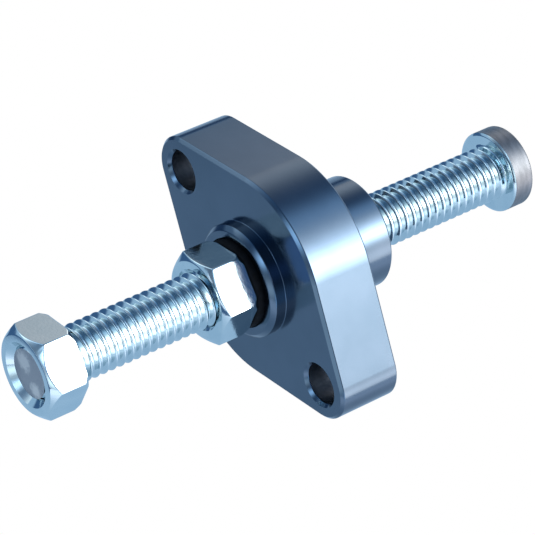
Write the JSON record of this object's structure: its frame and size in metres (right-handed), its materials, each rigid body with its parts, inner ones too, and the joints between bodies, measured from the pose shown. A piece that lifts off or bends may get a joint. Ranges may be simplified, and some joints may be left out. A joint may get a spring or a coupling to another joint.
{
  "type": "manual cam chain tensioner",
  "caption": "Rhombus flange with a front boss and rear spigot, through which a threaded bolt with a round pad screws to press on a chain blade, held by a lock nut.",
  "frame": {"origin": "on the bolt's axis, in the rear mounting face of the flange", "axes": "+Y along the bolt into the engine, +X from the centre to one mounting hole, +Z across the flange"},
  "size_m": [0.0544, 0.0983, 0.0366],
  "materials": {
    "anodised_aluminium": "satin gunmetal blue anodising",
    "zinc_plated_steel": "bright blue zinc plating",
    "black_rubber": "smooth black rubber"
  },
  "bodies": {
    "housing": {"tensioner_body": "anodised_aluminium"},
    "seal": {"seal_ring": "black_rubber"},
    "adjuster": {"adjuster_bolt": "zinc_plated_steel", "drive_nut": "zinc_plated_steel"},
    "locking": {"lock_nut": "zinc_plated_steel"}
  },
  "joints": [
    {"name": "adjuster_turn", "type": "hinge", "parent": "housing", "child": "seal", "pos_m": [0, -0.0139, 0], "axis": [0, 1, 0], "range_deg": [-6464, 5104]},
    {"name": "adjuster_travel", "type": "slide", "parent": "seal", "child": "adjuster", "axis": [0, 1, 0], "range_m": [-0.0285, 0.0225]},
    {"name": "lock_nut_travel", "type": "slide", "parent": "housing", "child": "locking", "axis": [0, -1, 0], "range_m": [0, 0.00317]}
  ],
  "couplings": [
    {"joint": "adjuster_turn", "follows": "adjuster_travel", "rad_per_m": 3957.9}
  ]
}
